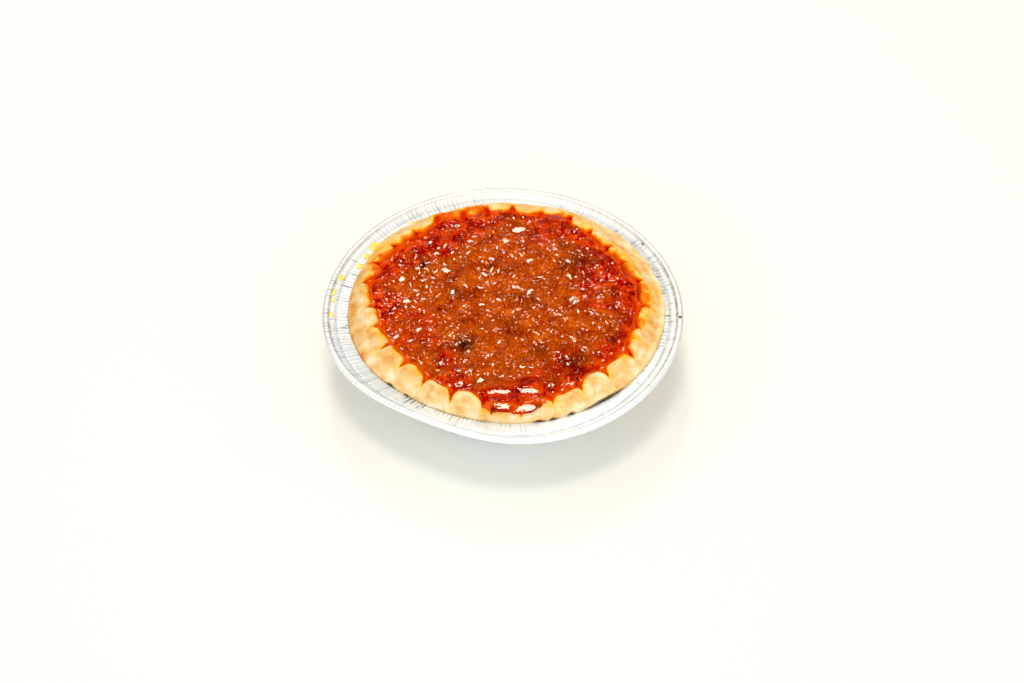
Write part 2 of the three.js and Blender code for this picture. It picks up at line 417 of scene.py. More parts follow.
def edge_at(angle):
    """The radius of the pastry's outer edge."""
    drift = edge_drift[0] * np.cos(angle) + edge_drift[1] * np.sin(angle) + edge_oval * np.cos(2 * angle)
    drift += bells(angle, edge_bulges)
    return edge_radius + drift + edge_ragged * ring_noise(angle, 60, 12.5) - edge_dent * dent_at(angle)


def lobe_at(angle):
    """The radius where the flutes end in the filling."""
    swell = bells(angle, lobe_swells)
    ragged = lobe_ragged * ring_noise(angle, 100, 91.0)
    return lobe_radius + lobe_drift * np.cos(angle) - swell - lobe_uneven * flute_at(angle)[1] + ragged


def flange_height(radius, angle):
    """The height of the foil's flange under the pastry."""
    low, high = tin_corners[5], tin_corners[6]
    share = (radius - low[0]) / (high[0] - low[0])
    return low[1] + (high[1] - low[1]) * share + flange_give * dent_lift * dent_at(angle)


def edge_top(angle):
    """The height of the pastry's outer edge."""
    return flange_height(edge_at(angle), angle) + bells(angle, edge_lifts) + edge_thickness


def round_gap(away):
    """The gap between two round flutes, from 0 in the middle of a flute to 1 in a notch."""
    return 1 - np.sqrt(1 - 0.98 * (1 - 2 * away) ** 3)


def shore_at(angle):
    """The radius of the scalloped line where the filling meets the pastry."""
    away, _, _, length = flute_at(angle)
    wedge = np.clip(1 - away / notch_width, 0, 1)
    lobe = lobe_at(angle)
    room = np.clip((edge_at(angle) - lobe) / wide_brim, 0, 1)
    return lobe + end_round * round_gap(away) + length * wedge * room


def outer_share(radius, angle):
    """How far up the flute's outer slope a spot is, from 0 at the edge to 1 at the crest."""
    edge = edge_at(angle)
    return np.clip((edge - radius) / (edge - lobe_at(angle) - crest_back), 0, 1)


def pastry_top(radius, angle):
    """The height of the pastry's bare top."""
    away, _, lift, _ = flute_at(angle)
    outer = outer_share(radius, angle)
    inner = np.clip((lobe_at(angle) + crest_back - radius) / crest_back, 0, 3)
    low = edge_top(angle)
    high = crest_height + lobe_uneven * lift - spill_drop * bell(angle, *spill_side) - knuckle_rise
    ledge = bell(angle, *ledge_side)
    plain = np.sin(0.5 * math.pi * outer)
    stepped = 0.2 * np.sqrt(np.clip(outer / 0.1, 0, 1)) + 0.8 * smooth(outer, 0.28, 0.9)
    top = low + (high - low) * (plain + (stepped - plain) * ledge)
    gap = round_gap(away)
    knuckle = knuckle_rise * (1 - gap) * smooth(outer, 0.45, 0.85)
    knuckle -= valley_depth * gap * smooth(outer, 0.45, 0.95)
    bank = notch_depth * smooth(shore_at(angle) + crest_back - radius, 0, 1.3 * crest_back)
    bank *= smooth(outer, 0.0, 0.5)
    return top + knuckle - np.maximum(0.6 * crest_back * inner**2.2, bank)


# Radius and height along the shell's outside and its hidden inside. The rows of the brim between them start
# on a flat ring, and each is then put at its own height.
outside = [(0, foot), (0.0220, foot), (0.0244, 0.0020), (0.0290, 0.0094), (0.0331, 0.0163), (0.0345, 0.0172)]
within = [(0.0300, 0.0180), (0.0234, 0.0050), (0.0220, 0.0037), (0, 0.0037)]
brim_line = [(edge_radius - share * brim_width, brim_height) for share in np.linspace(0, 1, top_rows)]
shell_line = outside + brim_line + within
shell, row, angle = spun("pastry_brim", shell_line, shell_steps)
shell_line = np.array(shell_line)
on_top = (row >= len(outside)) & (row < len(outside) + top_rows)
under_lip = row == len(outside) - 1
inward = np.where(on_top, (row - len(outside)) / (top_rows - 1), 0.0)
edge = edge_at(angle)
radius = np.where(on_top, edge + (lobe_at(angle) - under_fill - edge) * inward, shell_line[row, 0])
height = np.where(on_top, pastry_top(radius, angle), shell_line[row, 1])
radius = np.where(under_lip, edge - lip_tuck, radius)
height = np.where(under_lip, edge_top(angle) - edge_thickness - lip_drop, height)
height = np.where(row == len(outside), edge_top(angle) - lip_round * edge_thickness, height)
spots = place(shell, radius, angle, height)
lumps = crumb(spots, 0.0022, 3.0) + 0.5 * crumb(spots, 0.0007, 9.0)
lumps *= 1 - 0.85 * smooth(bell(angle, *spill_side), 0.1, 0.8)
height = height + np.where(on_top, crumb_depth * lumps, 0)
spots = place(shell, radius, angle, height)
shell_angle, shell_radius, shell_spots = angle, radius, spots

# Where the crust is browned and tanned, darker along the groove at the right, lighter with painted light on
# its outer slope and in patches at the front, lighter on its outer band at the right, and burnt along its lip
# with the painted shadow of the gap under it.
rise = outer_share(radius, angle)
browned = np.clip(1 - inward / 0.06, 0, 1) * (0.05 + 0.9 * bell(angle, *brown_side))
browned *= np.clip(0.7 + 0.8 * ring_noise(angle, 50, 61.0), 0.2, 1)
# A darker line along the groove at the foot of the step at the right.
groove = 0.4 * bell(angle, *ledge_side) * np.exp(-(((rise - 0.30) / 0.08) ** 2))
tanned = 0.45 * bell(angle, *tan_side) * np.clip(0.5 + 1.2 * crumb(spots, 0.003, 83.0), 0, 1)
paint(shell, "toast", np.maximum.reduce([browned, groove, tanned]))
outer_band = bell(angle, *ledge_side) * (1 - smooth(rise, 0.18, 0.30))
# Painted light on the outer slope, less at the left, and in patches at the front.
outer_light = 0.5 * (1 - smooth(rise, 0.15, 0.7)) * (1 - 0.6 * bell(angle, *less_light_side))
light_patches = np.clip(0.5 + 1.1 * crumb(spots, 0.0026, 81.0), 0, 1)
outer_light += 0.9 * light_patches**1.5 * bell(angle, *light_patch_side)
paint(shell, "pale", np.maximum(outer_light, outer_band))
# Darkened lip: a burnt edge with the painted shadow of the gap under the lifted lip.
lip = np.maximum.reduce([bell(angle, centre, spread) for centre, spread in burnt_and_shaded_lips])
char_and_gap_shade = (row <= len(outside)) * smooth(lip, 0.2, 0.6)
paint(shell, "char_and_gap_shade", np.maximum(char_and_gap_shade, 0.8 * (row == len(outside) + 1) * smooth(lip, 0.6, 1.0)))

# The crust is mottled, with painted light screened over it, soaked syrup, browning, and char with painted gap
# shadow over that, and a glaze where it is soaked.
pastry_finish, nodes, links, shader = new_material("baked_pastry")
shader.inputs["Roughness"].default_value = 0.5
shader.inputs["Coat Roughness"].default_value = 0.08
where = add(nodes, "TexCoord")
mottle = add(nodes, "TexNoise", Scale=290.0, Detail=5.0, Roughness=0.6)
pale = ramp_between(nodes, [(0.32, (0.70, 0.24, 0.04)), (0.43, (0.77, 0.43, 0.135)),
                            (0.53, (0.81, 0.53, 0.225)), (0.65, (0.88, 0.71, 0.46))])
pale_share = add(nodes, "Attribute", attribute_name="pale")
# Painted light screened over the crust.
light_screen = add(nodes, "Mix", data_type="RGBA", blend_type="SCREEN")
light_screen.inputs["B"].default_value = (0.40, 0.28, 0.16, 1)
soak_share = add(nodes, "Attribute", attribute_name="soak")
stain = ramp_between(nodes, [(0.0, (0.92, 0.56, 0.11)), (0.32, (0.93, 0.50, 0.045)),
                             (0.46, (0.85, 0.25, 0.016)), (0.7, (0.70, 0.09, 0.004)),
                             (1.0, (0.36, 0.016, 0.001))])
stained = add(nodes, "MapRange", interpolation_type="SMOOTHSTEP", From_Min=0.04, From_Max=0.45)
soaked = add(nodes, "Mix", data_type="RGBA")
glaze = add(nodes, "MapRange", From_Min=0.75, From_Max=0.95)
toast_share = add(nodes, "Attribute", attribute_name="toast")
toasted = add(nodes, "Mix", data_type="RGBA", blend_type="MULTIPLY")
toasted.inputs["B"].default_value = (0.66, 0.42, 0.19, 1)
# Char and painted gap shadow along the lip.
lip_darkened_share = add(nodes, "Attribute", attribute_name="char_and_gap_shade")
lip_darkened = add(nodes, "Mix", data_type="RGBA")
lip_darkened.inputs["B"].default_value = (0.07, 0.02, 0.006, 1)
crumbs = add(nodes, "TexNoise", Scale=1800.0, Detail=3.0)
crumb_bump = add(nodes, "Bump", Strength=0.4, Distance=0.0002)
wire(links,
     (where, "Object", mottle, "Vector"),
     (mottle, "Fac", pale, "Fac"),
     (soak_share, "Fac", stain, "Fac"),
     (soak_share, "Fac", stained, "Value"),
     (stain, "Color", soaked, "B"),
     (stained, "Result", soaked, "Factor"),
     (soak_share, "Fac", glaze, "Value"),
     (glaze, "Result", shader, "Coat Weight"),
     (pale_share, "Fac", light_screen, "Factor"),
     (pale, "Color", light_screen, "A"),
     (light_screen, "Result", soaked, "A"),
     (toast_share, "Fac", toasted, "Factor"),
     (soaked, "Result", toasted, "A"),
     (lip_darkened_share, "Fac", lip_darkened, "Factor"),
     (toasted, "Result", lip_darkened, "A"),
     (lip_darkened, "Result", shader, "Base Color"),
     (where, "Object", crumbs, "Vector"),
     (crumbs, "Fac", crumb_bump, "Height"),
     (crumb_bump, "Normal", shader, "Normal"))
shell.data.materials.append(pastry_finish)
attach(shell, "root")
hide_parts("pastry_shell")


# Filling. Butter, sugar and syrup that boiled up in the oven and set to a glossy caramel. Its top is a
# crust of burst bubbles and lumps, and it has run out between the flutes and over some of them.
fill_cells = 296
fill_height = 0.0214
fill_foot = 0.0040
fill_foot_radius = 0.0220
fill_seed = 41

# Where it runs out as a film over the pastry, with the centre and the spread of each spill in degrees.
film = 0.00022
film_start = 0.0002
tuck = 0.0003
shelf = (0.0014, 0.0004)
spill_reach = 0.0036
spill_margin = 0.0006
back_spills = ((157, 6, 0.0008), (107, 18, 0.0004))

# Its top: broad crags, round blisters and tilted shards, calmer near the pastry, and a swell at the front.
crags = ((0.0075, 0.00034, 2.0), (0.0027, 0.00020, 6.0))
domes = 420
dome_radius = (0.0003, 0.0014)
dome_slope = (0.35, 0.9)
dome_field = 0.030
burst_share = 0.3
shards = 260
shard_radius = (0.0006, 0.0015)
shard_slope = (0.2, 0.6)
shard_field = (0.024, 0.022)
shard_shift = 0.004
shard_turn = (math.radians(90), math.radians(80))
calm_width = 0.002
swell_rise = 0.0009
swell_start = (0.0235, 0.0280)
swell_end = (0.0285, 0.0312)


def fill_reach(angle):
    """How far out the filling runs: a little under each flute, along each notch and over some flutes."""
    reach = shore_at(angle) + tuck + spill_reach * smooth(bell(angle, *spill_side), 0.2, 0.9)
    back = sum(far * smooth(bell(angle, centre, spread), 0.2, 0.9) for centre, spread, far in back_spills)
    reach += back * np.clip(0.8 + 0.8 * ring_noise(angle, 110, 71.0), 0.2, 1.4)
    return np.minimum(reach, edge_at(angle) - spill_margin)


def between(ends, share):
    """The value at that share of the way from one end to the other."""
    return ends[0] + (ends[1] - ends[0]) * share


dice = random.Random(fill_seed)
bm = bmesh.new()
bmesh.ops.create_grid(bm, x_segments=fill_cells, y_segments=fill_cells, size=1)
brim_edges = [edge for edge in bm.edges if edge.is_boundary]
side = bmesh.ops.extrude_edge_only(bm, edges=brim_edges)["geom"]
foot_verts = [item for item in side if isinstance(item, bmesh.types.BMVert)]
foot_edges = [item for item in side if isinstance(item, bmesh.types.BMEdge) and item.is_boundary]
for vert in foot_verts:
    vert.co.z = -1
bmesh.ops.edgeloop_fill(bm, edges=foot_edges)
bmesh.ops.recalc_face_normals(bm, faces=bm.faces)
for face in bm.faces:
    face.smooth = True
square = np.array([vert.co for vert in bm.verts])
filling = link("caramel_top", bm)

# The square grid is drawn out to a round, ring by ring.
share = np.max(np.abs(square[:, :2]), axis=1)
sideways = np.abs(square[:, 0]) >= np.abs(square[:, 1])
lead = np.where(sideways, square[:, 0], square[:, 1])
lead = np.where(lead == 0, 1, lead)
other = np.where(sideways, square[:, 1], square[:, 0])
turn = 0.25 * math.pi * other / lead
angle = np.where(sideways, turn, 0.5 * math.pi - turn) + np.where(lead < 0, math.pi, 0)
on_top = square[:, 2] > -0.5
reach = fill_reach(angle)
radius = share * lobe_radius + (reach - lobe_radius) * share**8
spots = place(filling, radius, angle, np.zeros_like(radius))
relief = sum(depth * crumb(spots, size, seed) for size, depth, seed in crags)

# Round blisters, some of them burst to a ring, and tilted shards over the middle.
tree = kdtree.KDTree(len(spots))
for index in np.flatnonzero(on_top):
    tree.insert(spots[index], index)
tree.balance()
blister = np.zeros_like(radius)
for _ in range(domes):
    size = between(dome_radius, dice.random() ** 2)
    steep = between(dome_slope, dice.random())
    far = dome_field * math.sqrt(dice.random())
    turn = math.tau * dice.random()
    burst = dice.random() < burst_share
    for _, index, away in tree.find_range((far * math.cos(turn), far * math.sin(turn), 0), 1.4 * size):
        near = away / size
        dome = 0.5 * steep * size * max(0, 1 - near * near)
        crater = 0.25 * size * math.exp(-(((near - 1) / 0.25) ** 2))
        blister[index] = max(blister[index], crater if burst else dome)
for _ in range(shards):
    size = between(shard_radius, dice.random() ** 1.5)
    steep = between(shard_slope, dice.random())
    centre_x = shard_field[0] * (2 * dice.random() - 1)
    centre_y = shard_shift + shard_field[1] * (2 * dice.random() - 1)
    turn = shard_turn[0] + shard_turn[1] * (2 * dice.random() - 1)
    tilt = (math.cos(turn), math.sin(turn))
    for spot, index, away in tree.find_range((centre_x, centre_y, 0), size):
        along = (spot.x - centre_x) * tilt[0] + (spot.y - centre_y) * tilt[1]
        blister[index] += steep * along * (1 - smooth(away / size, 0.6, 1.0))

# The pool lies flat inside the flutes and thins to a film over them, with a wet swell behind the spill.
lobe = lobe_at(angle)
beyond = np.clip((radius - lobe) / (reach - lobe), 0, 1)
under = pastry_top(np.maximum(radius, lobe + film_start), angle)
coat = film * (1.3 * np.sqrt(1 - beyond**2) - 0.3)
calm = np.clip((lobe - radius) / calm_width, 0.4, 1)
front = smooth(bell(angle, *spill_side), 0.1, 0.7)
swell = front * smooth(radius, *swell_start) * (1 - smooth(radius, *swell_end))
pool = fill_height + (relief + blister) * calm * (1 - 0.7 * swell) + swell_rise * swell
shallow = np.minimum(pool, under + coat)
shallow += front * (under + coat - shallow)
top = pool + (shallow - pool) * smooth(radius, lobe - shelf[0], lobe + shelf[1])

# Flat shards and wrinkles of the crust that lean towards the front, so that the soft light above shows in
# them, and the wet swell of the spill: where each is, its half length and half width, all in millimetres,
# the turn in degrees and the bend of its length, and how far it stands up. Loose ones fill the gaps: first
# flakes all over, then bent wrinkles in a ring.
lean_front = 0.525
lean_uneven = 0.03
loose_shapes = 300
loose_flakes = 71
flake_field = 29
wrinkle_ring = (17.5, 30.5)
loose_side = (math.radians(85), math.radians(105))
loose_length = (0.5, 1.2)
loose_width = (0.31, 0.47)
loose_lie = 80
wrinkle_bend = 0.5
shapes = [
    (-15.7, 16.3, 1.0, 0.7, 20, 0, 0), (-13.4, 10.0, 1.2, 0.8, -20, 0, 0),
    (-2.8, 14.6, 1.4, 0.9, -30, 0, 0), (0.7, 20.6, 1.1, 0.9, 30, 0, 0), (4.0, 24.4, 2.0, 1.0, 5, 0, 0),
    (6.5, 13.5, 1.1, 0.7, 10, 0, 0), (-4.2, 8.9, 0.9, 0.6, -50, 0, 0), (6.3, 3.4, 1.3, 0.7, 50, 0, 0),
    (-0.9, 0.4, 0.8, 0.5, -20, 0, 0), (-22.3, 0.2, 1.0, 0.7, 0, 0, 0), (-23.7, 7.6, 1.0, 0.8, 50, 0, 0),
    (-11.6, 2.9, 0.9, 0.6, 40, 0, 0), (-17.6, 19.8, 1.4, 0.5, 20, 0, 0), (16.5, 0.3, 1.5, 1.0, 25, 0, 0),
    (12.5, 19.0, 1.4, 0.6, 30, 0.25, 0), (7.1, 9.4, 1.1, 0.4, -45, 0.2, 0), (8.8, 7.8, 1.1, 0.4, 0, 0.3, 0),
    (-19.4, -9.1, 0.9, 0.6, 30, 0, 0), (-7.7, 20.1, 0.9, 0.6, 0, 0, 0), (-5.0, -25.0, 1.1, 0.7, 0, 0, 0),
    (22.5, 11.6, 1.2, 0.9, 20, 0, 0), (28.4, 6.6, 1.4, 0.45, -67, 0, 0), (24.7, -2.4, 1.4, 0.4, 30, 0.2, 0),
    (25.3, -11.1, 1.0, 0.5, 0, 0, 0), (29.5, -8.0, 0.6, 0.5, 60, 0, 0), (20.2, 17.4, 0.9, 0.45, 10, 0, 0),
    (20.0, 21.4, 2.1, 0.4, 10, -0.06, 0), (17.7, 23.8, 1.0, 0.6, 40, 0.3, 0),
    (15.0, 25.0, 0.9, 0.7, 80, 0, 0), (23.5, 7.1, 0.9, 0.45, 30, 0, 0), (18.8, 15.1, 0.8, 0.6, -30, 0, 0),
    (20.2, 2.9, 0.8, 0.4, 80, 0, 0), (-20.3, 15.4, 1.9, 0.4, 57, 0, 0), (-26.2, 14.3, 1.3, 0.4, 80, 0, 0),
    (-14.2, 22.3, 0.9, 0.45, -30, 0, 0), (-6.1, 24.6, 1.9, 0.45, -15, 0, 0),
    (-4.4, 27.8, 0.8, 0.5, 10, 0, 0), (-27.1, 0.7, 1.1, 0.4, -50, 0, 0), (-24.4, -11.2, 0.9, 0.5, 20, 0, 0),
    (-20.7, -17.7, 0.8, 0.4, 0, 0, 0), (-13.9, -19.5, 0.7, 0.7, 0, 0, 0),
    (-8.0, -16.0, 0.7, 0.45, 20, 0, 0), (-9.8, -26.0, 1.0, 0.8, 10, 0, 0),
    (-10.0, -21.9, 0.9, 0.45, 0, 0, 0), (-25.7, -3.9, 0.9, 0.4, 20, 0, 0),
    (-1.0, -29.3, 3.1, 0.9, 3, 0.015, 0.2), (5.7, -28.8, 2.8, 0.9, -4, 0.02, 0.2),
    (-0.3, -33.0, 2.2, 1.4, -15, 0, 0.5), (5.0, -33.2, 3.2, 1.6, 15, 0, 0.5),
    (10.5, -26.8, 1.4, 0.6, 20, 0, 0.1), (15.0, -26.2, 1.6, 0.6, 15, 0.15, 0.1),
]
for index in range(loose_shapes):
    wrinkle = index >= loose_flakes
    far = between(wrinkle_ring, dice.random()) if wrinkle else flake_field * math.sqrt(dice.random())
    turn = loose_side[0] + loose_side[1] * (2 * dice.random() - 1)
    spot = (far * math.cos(turn), far * math.sin(turn))
    half_length = between(loose_length, dice.random())
    half_width = between(loose_width, dice.random())
    lie = loose_lie * (2 * dice.random() - 1)
    bend = wrinkle_bend * wrinkle * (2 * dice.random() - 1)
    if all(math.dist(spot, shape[:2]) > 0.9 + 0.5 * shape[2] for shape in shapes):
        shapes.append((*spot, half_length, half_width, lie, bend, 0))
ragged = crumb(spots, 0.0007, 51.0)
flat_film = top.copy()
for x, y, half_length, half_width, lie, bend, lift in reversed(shapes):
    turn = math.radians(lie)
    across = 1000 * spots[:, :2] - (x, y)
    long_way = across[:, 0] * math.cos(turn) + across[:, 1] * math.sin(turn)
    short_way = across[:, 1] * math.cos(turn) - across[:, 0] * math.sin(turn) - bend * long_way**2
    near = (long_way / half_length) ** 2 + (short_way / half_width) ** 2
    near *= np.clip(1 + (0.8 if lift else 1.1) * ragged, 0.3, 2.5)
    covered = on_top & (near < 1)
    if covered.any():
        lean = lean_front if lift else lean_front + lean_uneven * (2 * dice.random() - 1)
        plane = lift + lean * across[:, 1] - 0.03 * across[:, 1] ** 2 + 0.015 * ragged
        plane = top[covered].mean() + 0.001 * plane
        share = np.where(on_top, 1 - smooth(near, 0.75, 1.7), 0)
        top = top + share * (plane - top)
top = np.where(radius > lobe, np.maximum(top, flat_film), top)
radius = np.where(on_top, radius, fill_foot_radius)
height = np.where(on_top, top, fill_foot)
spots = place(filling, radius, angle, height)

# Where syrup has soaked into the pastry: a wash out from the shore, wider at the right and the back left,
# deep runs along the notches with a halo round them, thin seams at the right, a stain under each spill, a
# tongue and honey-coloured crust at the back left.
wash_width = 0.00035
wash_blotch = 0.0012
wide_washes = ((145, 22, 0.0008),)
blotched_washes = ((10, 34, 0.0019),)
seam_side = (0, 38)
stain_side = (152, 9)
tongue_side = (157.5, 2.2)
honey_side = (147, 11)

away, _, _, length = flute_at(shell_angle)
past_shore = shell_radius - shore_at(shell_angle)
blotch = np.clip(0.5 + 0.9 * crumb(shell_spots, 0.0030, 21.0), 0, 1)
wash = wash_width + wash_blotch * blotch**2 + bells(shell_angle, wide_washes)
wash += (0.3 + 0.9 * blotch) * bells(shell_angle, blotched_washes)
soak = np.exp(-np.clip(past_shore, 0, 1) / wash)
run = np.exp(-((away / 0.075) ** 2)) * (1 - smooth(past_shore, 0.0, 0.0006 + 0.8 * length))
halo = 0.5 * np.exp(-((away / 0.19) ** 2)) * (1 - smooth(past_shore, 0.0004, 0.0032)) * (0.3 + 0.9 * blotch)
seam = 0.85 * np.exp(-((away / 0.035) ** 2)) * (1 - smooth(past_shore, 0.0006, 0.0028))
seam *= bell(shell_angle, *seam_side)
over = smooth(bell(shell_angle, *spill_side), 0.1, 0.8) * (1 - smooth(past_shore, 0.0014, 0.0036))
over *= 0.15 + 0.6 * blotch
back_over = sum(smooth(bell(shell_angle, centre, spread), 0.1, 0.8) for centre, spread, _ in back_spills)
back_over += 0.6 * bell(shell_angle, *stain_side)
back_over *= 0.22 + 0.5 * smooth(outer_share(shell_radius, shell_angle), 0.2, 0.9)
back_over = np.minimum(back_over * (0.15 + 0.8 * blotch), 0.68)
tongue = bell(shell_angle, *tongue_side) * (1 - smooth(past_shore, 0.001, 0.0046))
honeyed = (0.26 + 0.14 * blotch) * bell(shell_angle, *honey_side)
soak = np.maximum.reduce([soak, 0.9 * run, halo, seam, over, back_over, 0.68 * tongue, honeyed])
paint(shell, "soak", soak)

# Where the filling is redder, where it is a thin film over the pastry, and where it is burnt: the place and
# the radius of each burn, and how dark it is.
red_sides = ((8, 45, 0.11), (135, 60, 0.06))
thin_depth = 0.0007
thin_reach = 0.001
burns = ((-0.0090, -0.0140, 0.0026, 1.0), (-0.0187, 0.0122, 0.0013, 1.0), (0.0190, 0.0128, 0.0035, 0.7),
         (0.0150, -0.0195, 0.0040, 0.7), (0.0020, -0.0080, 0.0025, 0.4), (0.0085, -0.0160, 0.0020, 0.5),
         (-0.0112, 0.0029, 0.0022, 0.5), (0.0056, 0.0004, 0.0028, 0.45), (0.0250, -0.0127, 0.0014, 0.8))

paint(filling, "rim_share", np.clip(radius / lobe, 0, 1) + bells(angle, red_sides))
depth = top - pastry_top(np.maximum(radius, lobe - thin_reach), angle)
on_pastry = on_top & (radius > lobe - thin_reach)
paint(filling, "thin", np.where(on_pastry, np.clip(1 - depth / thin_depth, 0, 1), 0))
burn = np.zeros_like(radius)
for x, y, size, dark in burns:
    away = np.hypot(spots[:, 0] - x, spots[:, 1] - y) / size
    burn = np.maximum(burn, dark * np.exp(-away**2))
paint(filling, "burn", burn)

# The caramel is patchy, red syrup towards its rim, speckled, with tiny painted highlights on its grain, with
# burns and thin films over that, under a clear gloss.
caramel_finish, nodes, links, shader = new_material("set_caramel")
shader.inputs["Roughness"].default_value = 0.3
shader.inputs["Specular IOR Level"].default_value = 0.05
shader.inputs["Coat Weight"].default_value = 1.0
shader.inputs["Coat Roughness"].default_value = 0.03
shader.inputs["Coat IOR"].default_value = 1.5
where = add(nodes, "TexCoord")
patch = add(nodes, "TexNoise", Scale=230.0, Detail=8.0, Roughness=0.72)
caramel = ramp_between(nodes, [(0.3, (0.16, 0.010, 0.0003)), (0.43, (0.42, 0.044, 0.001)),
                               (0.57, (0.60, 0.088, 0.004)), (0.72, (0.84, 0.18, 0.020))])
rim_share = add(nodes, "Attribute", attribute_name="rim_share")
rim_edge = add(nodes, "MapRange", interpolation_type="SMOOTHSTEP", From_Min=0.70, From_Max=0.98)
rim_rough = add(nodes, "Math", operation="ADD")
pooled = add(nodes, "TexNoise", Scale=110.0, Detail=3.0)
rim_patch = add(nodes, "MapRange", From_Min=0.3, From_Max=0.7, To_Min=-0.28, To_Max=0.28)
syrup_depth = add(nodes, "TexNoise", Scale=330.0, Detail=3.0)
syrup = ramp_between(nodes, [(0.38, (0.30, 0.006, 0.0002)), (0.5, (0.56, 0.019, 0.0005)),
                             (0.62, (0.80, 0.066, 0.002))])
reddened = add(nodes, "Mix", data_type="RGBA")
burn_share = add(nodes, "Attribute", attribute_name="burn")
burnt = add(nodes, "Mix", data_type="RGBA")
burnt.inputs["B"].default_value = (0.045, 0.004, 0.0006, 1)
thin_share = add(nodes, "Attribute", attribute_name="thin")
thinned = add(nodes, "Mix", data_type="RGBA")
thinned.inputs["B"].default_value = (0.77, 0.10, 0.008, 1)
grain = add(nodes, "TexNoise", Scale=1700.0, Detail=4.0, Roughness=0.7)
speckle = ramp_between(nodes, [(0.36, (0.46, 0.38, 0.30)), (0.50, (0.80, 0.78, 0.74)),
                               (0.60, (1.0, 1.0, 1.0))])
speckled = add(nodes, "Mix", data_type="RGBA", blend_type="MULTIPLY", Factor=1.0)
# Tiny painted highlights: warm glints on the highest grains.
painted_glint = add(nodes, "MapRange", interpolation_type="SMOOTHSTEP", From_Min=0.62, From_Max=0.72, To_Max=0.8)
glinted = add(nodes, "Mix", data_type="RGBA")
glinted.inputs["B"].default_value = (0.88, 0.36, 0.11, 1)
grain_bump = add(nodes, "Bump", Strength=0.6, Distance=0.0002)
wire(links,
     (where, "Object", patch, "Vector"),
     (patch, "Fac", caramel, "Fac"),
     (where, "Object", pooled, "Vector"),
     (pooled, "Fac", rim_patch, "Value"),
     (where, "Object", syrup_depth, "Vector"),
     (syrup_depth, "Fac", syrup, "Fac"),
     (syrup, "Color", reddened, "B"),
     (rim_share, "Fac", rim_rough, 0),
     (rim_patch, "Result", rim_rough, 1),
     (rim_rough, "Value", rim_edge, "Value"),
     (rim_edge, "Result", reddened, "Factor"),
     (caramel, "Color", reddened, "A"),
     (grain, "Fac", speckle, "Fac"),
     (reddened, "Result", speckled, "A"),
     (speckle, "Color", speckled, "B"),
     (grain, "Fac", painted_glint, "Value"),
     (painted_glint, "Result", glinted, "Factor"),
     (speckled, "Result", glinted, "A"),
     (burn_share, "Fac", burnt, "Factor"),
     (glinted, "Result", burnt, "A"),
     (thin_share, "Fac", thinned, "Factor"),
     (burnt, "Result", thinned, "A"),
     (thinned, "Result", shader, "Base Color"),
     (where, "Object", grain, "Vector"),
     (grain, "Fac", grain_bump, "Height"),
     (grain_bump, "Normal", shader, "Normal"))
filling.data.materials.append(caramel_finish)
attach(filling, "root")
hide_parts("filling")


# Syrup drips. Thin yellow syrup that boiled over at the back left, and two dark specks at the right. They
# dried as flat beads on the foil.
drip_flatness = 0.22
drip_uneven = 0.0002
drip_lump = 0.0012

# Each drip's radius and degrees round the tin, its half width, and how far it is stretched round the rim.
drips = ((0.0399, 163.8, 0.0007, 1.5), (0.0403, 171.2, 0.0006, 1.6), (0.0400, 174.6, 0.0006, 1.3),
         (0.0402, 181.7, 0.0006, 1.4), (0.0376, 155.6, 0.0008, 1.2), (0.0378, 150.0, 0.0007, 1.5),
         (0.0381, 144.2, 0.0010, 1.8), (0.0377, 126.0, 0.0005, 1.8), (0.0405, 33.2, 0.0004, 1.0),
         (0.0413, -4.6, 0.0004, 1.0))

tin_radii = [corner[0] for corner in tin_corners]
tin_heights = [corner[1] for corner in tin_corners]
bm = bmesh.new()
for radius, turn, size, stretch in drips:
    turn = math.radians(turn)
    ball = bmesh.ops.create_icosphere(bm, subdivisions=3, radius=size)["verts"]
    base = np.interp(radius, tin_radii, tin_heights) + bead_radius * (radius > tin_radii[-1])
    bmesh.ops.scale(bm, verts=ball, vec=(1, stretch, drip_flatness))
    bmesh.ops.rotate(bm, verts=ball, matrix=Matrix.Rotation(turn, 3, "Z"))
    bmesh.ops.translate(bm, verts=ball, vec=(radius * math.cos(turn), radius * math.sin(turn), base))
for face in bm.faces:
    face.smooth = True
spilt = link("syrup_drips", bm)
spots = np.array([vert.co for vert in spilt.data.vertices])
sway = np.stack([crumb(spots, drip_lump, 31.0), crumb(spots, drip_lump, 37.0)], axis=1)
spots[:, :2] += drip_uneven * sway
spilt.data.vertices.foreach_set("co", spots.astype(np.float32).ravel())
spilt.data.update()

# Honey-coloured drips, with the two specks at the right dark.
paint(spilt, "dark_speck", (spots[:, 0] > 0).astype(float))
syrup_finish, nodes, links, shader = new_material("dried_syrup")
shader.inputs["Roughness"].default_value = 0.2
where = add(nodes, "TexCoord")
thickness = add(nodes, "TexNoise", Scale=900.0, Detail=2.0)
honey = ramp_between(nodes, [(0.35, (0.78, 0.56, 0.04)), (0.65, (0.92, 0.84, 0.26))])
dark_speck_share = add(nodes, "Attribute", attribute_name="dark_speck")
darkened = add(nodes, "Mix", data_type="RGBA")
darkened.inputs["B"].default_value = (0.20, 0.07, 0.02, 1)
wire(links,
     (where, "Object", thickness, "Vector"),
     (thickness, "Fac", honey, "Fac"),
     (dark_speck_share, "Fac", darkened, "Factor"),
     (honey, "Color", darkened, "A"),
     (darkened, "Result", shader, "Base Color"))
spilt.data.materials.append(syrup_finish)
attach(spilt, "root")


# Studio: a plain ivory floor, a soft light above and a little in front, a small one behind, and a room that
# is pale in front and dim at its far side.
floor_half = 3.0
lamp_colour = (1.0, 0.92, 0.78)
bm = bmesh.new()
bmesh.ops.create_grid(bm, x_segments=1, y_segments=1, size=floor_half)
floor = link("floor", bm)
floor_finish, nodes, links, shader = new_material("ivory_floor")
shader.inputs["Base Color"].default_value = (0.84, 0.84, 0.80, 1)
shader.inputs["Roughness"].default_value = 0.6
floor.data.materials.append(floor_finish)

